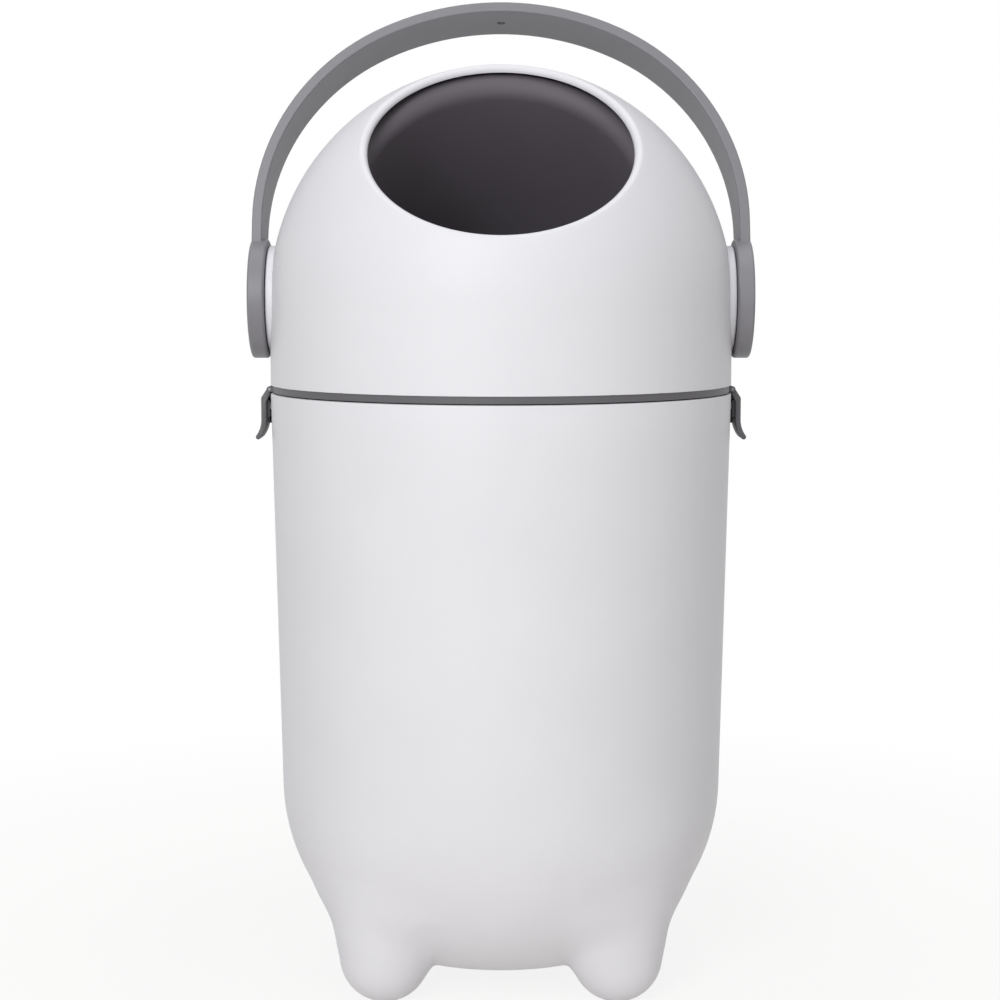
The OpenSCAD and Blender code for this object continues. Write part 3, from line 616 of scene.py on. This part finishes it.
arm_start = math.atan2(arm_side[1], arm_side[0])
half = latch_thick / 2
latch_outline = around(pin_place, knuckle_radius, arm_start, arm_start + math.pi, 14)
latch_outline += [(plate_middle - half, elbow_height - arm_thick / 2)]
latch_outline += around(tab_middle, tab_radius + half, math.pi, math.pi + tab_turn, 10)
tip = (tab_middle[0] - tab_radius * math.cos(tab_turn), tab_middle[1] - tab_radius * math.sin(tab_turn))
latch_outline += around(tip, half, math.pi + tab_turn, 2 * math.pi + tab_turn, 9)[1:-1]
latch_outline += around(tab_middle, tab_radius - half, math.pi + tab_turn, math.pi, 10)
latch_outline += [(plate_middle + half, elbow_height + arm_thick / 2)]
wall_gap = 0.0006
wall_place = rim_radius + wall_gap
plate_lap = 0.0005
plate_inside = plate_middle - half + plate_lap
flank_place = 0.007
flank_thick = 0.002
flank_low = 0.34335
flank_top = 0.35385
toe_top = 0.34775
toe_high = 0.0027
web_thick = 0.002
web_low = 0.3385
web_top = 0.3575
latch_edge = 0.0003


def upright(low, high):
    """The half section of a wall between the bin and the latch's plate."""
    return [(wall_place, low), (plate_inside, low), (plate_inside, high), (wall_place, high)]


parts = [block(latch_outline, -latch_half, latch_half, latch_edge)]
for y in (-flank_place - flank_thick / 2, flank_place - flank_thick / 2):
    parts.append(block(upright(flank_low, flank_top), y, y + flank_thick, latch_edge))
parts.append(block(upright(toe_top - toe_high, toe_top), -flank_place, flank_place, latch_edge))
parts.append(block(upright(web_low, web_top), latch_half - web_thick, latch_half, latch_edge))
bpy.ops.object.select_all(action="DESELECT")
for part in parts:
    part.select_set(True)
right_latch = parts[0]
bpy.context.view_layer.objects.active = right_latch
bpy.ops.object.join()
left_latch = right_latch.copy()
left_latch.data = right_latch.data.copy()
bpy.context.scene.collection.objects.link(left_latch)
for vertex in left_latch.data.vertices:
    vertex.co.x = -vertex.co.x
left_latch.data.flip_normals()
# Both latches wear the same grey, darkened as painted shade for the seam.
finish_piece(right_latch, "latch_right", shade_darkened_abs, "right_latch", "latch_right")
finish_piece(left_latch, "latch_left", shade_darkened_abs, "left_latch", "latch_left")

# Screws and pins
# Six screws hold the ring, one screw holds each hub under its cap, and a pin carries
# each latch. All are bought in, cold formed and plated.

# Zinc plated steel: a cool grey metal with a fine drawn grain and a slightly cloudy
# plating, so it glints but never mirrors.
zinc_steel, surface, place = new_material("zinc_plated_steel")
cloud = add_node(zinc_steel, "ShaderNodeTexNoise", {"Scale": 250.0, "Detail": 4.0}, {"Vector": place})
tint = add_node(zinc_steel, "ShaderNodeMix", {"A": linear("#77787b"), "B": linear("#8d8e92")},
                {"Factor": cloud.outputs["Fac"]}, data_type="RGBA")
sheen = add_node(zinc_steel, "ShaderNodeMapRange", {"To Min": 0.32, "To Max": 0.46},
                 {"Value": cloud.outputs["Fac"]})
drawn = add_node(zinc_steel, "ShaderNodeTexNoise", {"Scale": 2500.0, "Detail": 2.0}, {"Vector": place})
relief = add_node(zinc_steel, "ShaderNodeBump", {"Strength": 0.15, "Distance": 0.0001},
                  {"Height": drawn.outputs["Fac"]})
zinc_steel.node_tree.links.new(tint.outputs["Result"], surface.inputs["Base Color"])
zinc_steel.node_tree.links.new(sheen.outputs["Result"], surface.inputs["Roughness"])
zinc_steel.node_tree.links.new(relief.outputs["Normal"], surface.inputs["Normal"])
surface.inputs["Metallic"].default_value = 1.0
dress(["ring_screws", "hub_screw_left", "hub_screw_right", "latch_pin_left", "latch_pin_right"], zinc_steel)

# Studio
# A pale floor that keeps the bin's shadow, a white surround that the camera and
# reflections see, soft lamps, and the camera at the photo's height and distance.

# Matt pale card. Where the camera and reflections see it, it fades to plain white away
# from the feet, so the bin's soft shadow stays and the surround is clean.
studio_floor, surface, place = new_material("studio_floor")
bpy.ops.object.select_all(action="DESELECT")
bpy.ops.mesh.primitive_plane_add(size=12.0, location=(0, 0, 0))
floor = bpy.context.object
floor.name = "floor"
surface.inputs["Base Color"].default_value = linear("#f1ede8")
surface.inputs["Roughness"].default_value = 0.9
away = add_node(studio_floor, "ShaderNodeVectorMath", {}, {0: place}, operation="LENGTH")
fade = add_node(studio_floor, "ShaderNodeMapRange",
                {"From Min": 0.2, "From Max": 0.75, "To Min": 0.86, "To Max": 1.0},
                {"Value": away.outputs["Value"]})
floor_path = add_node(studio_floor, "ShaderNodeLightPath")
seen_or_mirrored = add_node(studio_floor, "ShaderNodeMath", {}, {0: floor_path.outputs["Is Camera Ray"],
                            1: floor_path.outputs["Is Glossy Ray"]}, operation="MAXIMUM")
seen = add_node(studio_floor, "ShaderNodeMath", {}, {0: seen_or_mirrored.outputs["Value"],
                1: floor_path.outputs["Is Transmission Ray"]}, operation="MAXIMUM")
share = add_node(studio_floor, "ShaderNodeMath", {}, {0: fade.outputs["Result"], 1: seen.outputs["Value"]},
                 operation="MULTIPLY")
paper = add_node(studio_floor, "ShaderNodeEmission", {"Color": (1, 1, 1, 1), "Strength": 1.0})
floor_mix = add_node(studio_floor, "ShaderNodeMixShader", {}, {0: share.outputs["Value"],
                     1: surface.outputs["BSDF"], 2: paper.outputs["Emission"]})
floor_output = [n for n in studio_floor.node_tree.nodes if n.bl_idname == "ShaderNodeOutputMaterial"][0]
studio_floor.node_tree.links.new(floor_mix.outputs["Shader"], floor_output.inputs["Surface"])
floor.data.materials.append(studio_floor)

world = bpy.data.worlds.new("studio")
world.use_nodes = True
world.node_tree.nodes.clear()
bpy.context.scene.world = world
path = add_node(world, "ShaderNodeLightPath")
direct = add_node(world, "ShaderNodeMath", {}, {0: path.outputs["Is Camera Ray"],
                  1: path.outputs["Is Glossy Ray"]}, operation="MAXIMUM")
seen = add_node(world, "ShaderNodeMath", {}, {0: direct.outputs["Value"],
                1: path.outputs["Is Transmission Ray"]}, operation="MAXIMUM")
ambient = add_node(world, "ShaderNodeBackground", {"Color": (1, 1, 1, 1), "Strength": 0.255})
white = add_node(world, "ShaderNodeBackground", {"Color": (1, 1, 1, 1), "Strength": 1.0})
sky = add_node(world, "ShaderNodeMixShader", {}, {0: seen.outputs["Value"], 1: ambient.outputs["Background"],
               2: white.outputs["Background"]})
add_node(world, "ShaderNodeOutputWorld", {}, {"Surface": sky.outputs["Shader"]})


def add_softbox(name, place, aim, size, power):
    """A rectangular soft lamp at a place, turned to its aim."""
    lamp = bpy.data.lights.new(name, "AREA")
    lamp.shape = "RECTANGLE"
    lamp.size, lamp.size_y = size
    lamp.energy = power
    holder = bpy.data.objects.new(name, lamp)
    bpy.context.scene.collection.objects.link(holder)
    holder.location = place
    holder.rotation_euler = (Vector(aim) - Vector(place)).to_track_quat("-Z", "Y").to_euler()
    return holder


add_softbox("key", (-0.72, -2.05, 1.2), (0, 0, 0.33), (1.0, 1.4), 28)
add_softbox("fill", (1.4, -1.8, 0.8), (0, 0, 0.3), (0.9, 1.4), 4)
add_softbox("top", (0.08, -0.1, 2.0), (0, 0, 0.3), (1.4, 1.4), 10)

view = bpy.data.cameras.new("camera")
view.sensor_width = 36
view.lens = 79.48
camera = bpy.data.objects.new("camera", view)
bpy.context.scene.collection.objects.link(camera)
camera.location = (-0.0006, -1.350, 0.4342)
camera.rotation_euler = (math.radians(83.975), 0, 0)
bpy.context.scene.camera = camera
bpy.context.scene.view_settings.view_transform = "Standard"
